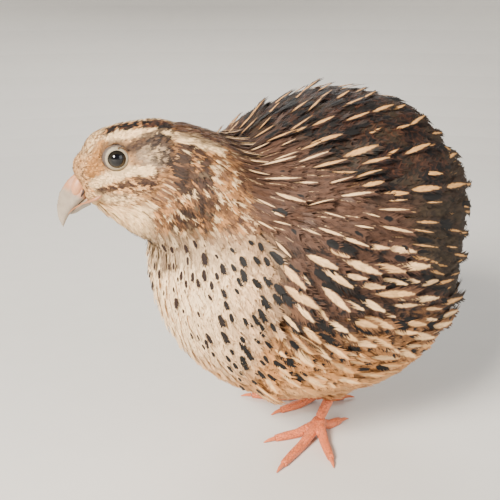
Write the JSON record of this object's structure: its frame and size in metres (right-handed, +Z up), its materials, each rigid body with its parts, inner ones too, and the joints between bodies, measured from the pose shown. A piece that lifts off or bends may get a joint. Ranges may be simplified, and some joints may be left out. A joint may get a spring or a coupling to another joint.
{
  "type": "coturnix quail",
  "caption": "Life-size still model of a coturnix quail hen standing on both feet, with folded wings, short tail, hooked bill and separate eyes and claws.",
  "frame": {"origin": "middle of the bird's box on the floor it stands on", "axes": "-X is where the trunk faces, -Y is the bird's left, +Z is up"},
  "size_m": [0.165, 0.1068, 0.1364],
  "materials": {
    "plumage_breast": "matt cream and buff feathers with small dark brown spots",
    "plumage_back": "matt dark brown feathers with rufous bars and cream shaft streaks",
    "bill": "satin grey-pink horn",
    "eye": "wet dark olive-brown with a black pupil",
    "leg_skin": "salmon-pink scaled skin",
    "claw": "satin pinkish horn"
  },
  "bodies": {
    "root": {"bill_lower": "bill", "bill_upper": "bill", "claw_left_hind": "claw", "claw_left_inner": "claw", "claw_left_middle": "claw", "claw_left_outer": "claw", "claw_right_hind": "claw", "claw_right_inner": "claw", "claw_right_middle": "claw", "claw_right_outer": "claw", "eye_left": "eye", "eye_right": "eye", "foot_left": "leg_skin", "foot_right": "leg_skin", "head": "plumage_breast", "neck": "plumage_breast", "shank_left": "leg_skin", "shank_right": "leg_skin", "tail": "plumage_back", "thigh_left": "plumage_breast", "thigh_right": "plumage_breast", "torso": "plumage_breast", "wing_left": "plumage_back", "wing_right": "plumage_back"}
  },
  "joints": []
}
